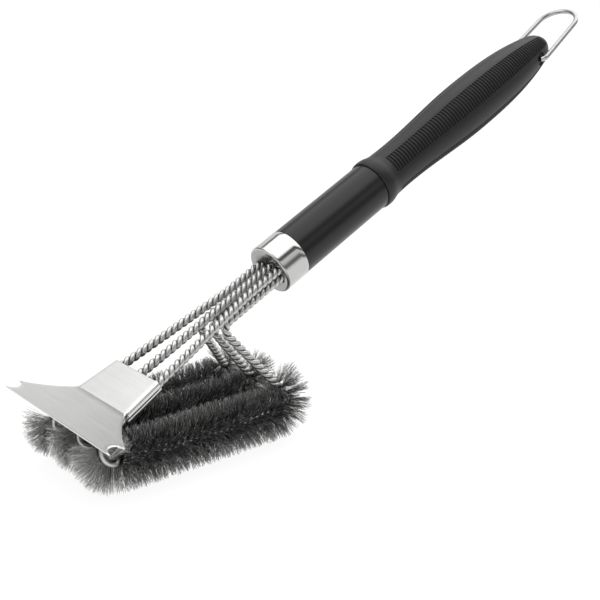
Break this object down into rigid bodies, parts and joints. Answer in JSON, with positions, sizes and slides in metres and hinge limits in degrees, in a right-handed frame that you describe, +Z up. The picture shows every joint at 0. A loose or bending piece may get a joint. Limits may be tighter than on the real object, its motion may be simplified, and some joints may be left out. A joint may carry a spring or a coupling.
{
  "type": "grill cleaning brush",
  "caption": "Long-handled grill cleaning brush with folded wire-rope bristle rows, a notched sheet-steel scraper blade, a black moulded grip and a swinging hanging loop.",
  "frame": {"origin": "middle of the scrubbing face of the bristle pad, on the surface that the bristles stand on", "axes": "+X along the bristle rows towards the handle's end, +Z up from the scrubbing face, +Y to the side"},
  "size_m": [0.4105, 0.1, 0.2385],
  "materials": {
    "grip_moulding": "matte black moulding with finely ribbed panels",
    "tube_coating": "smooth satin black coating on steel tube",
    "ferrule_steel": "polished stainless steel",
    "plug_plastic": "plain dark plastic, hidden in the handle",
    "rope_wire": "bright drawn stainless wire, two wires twisted into each rope",
    "bristle_wire": null,
    "scraper_steel": "satin stainless sheet with rolled edges",
    "loop_wire": "bright polished steel wire"
  },
  "bodies": {
    "brush": {"grip": "grip_moulding", "handle_tube": "tube_coating", "ferrule": "ferrule_steel", "anchor_plug": "plug_plastic", "upper_rod_left": "rope_wire", "upper_rod_middle": "rope_wire", "upper_rod_right": "rope_wire", "nose_bend_left": "rope_wire", "nose_bend_middle": "rope_wire", "nose_bend_right": "rope_wire", "bristle_core_left": "rope_wire", "bristle_core_middle": "rope_wire", "bristle_core_right": "rope_wire", "rear_leg_left": "rope_wire", "rear_leg_middle": "rope_wire", "rear_leg_right": "rope_wire", "lower_rod_left": "rope_wire", "lower_rod_middle": "rope_wire", "lower_rod_right": "rope_wire", "bristle_row_left": "bristle_wire", "bristle_row_middle": "bristle_wire", "bristle_row_right": "bristle_wire", "scraper": "scraper_steel", "scraper_clamp": "scraper_steel"},
    "hang_loop": {"hang_loop": "loop_wire"}
  },
  "joints": [
    {"name": "loop_swing", "type": "hinge", "parent": "brush", "child": "hang_loop", "pos_m": [0.29208, 0, 0.20603], "axis": [0, -1, 0], "range_deg": [-138, 120]}
  ]
}
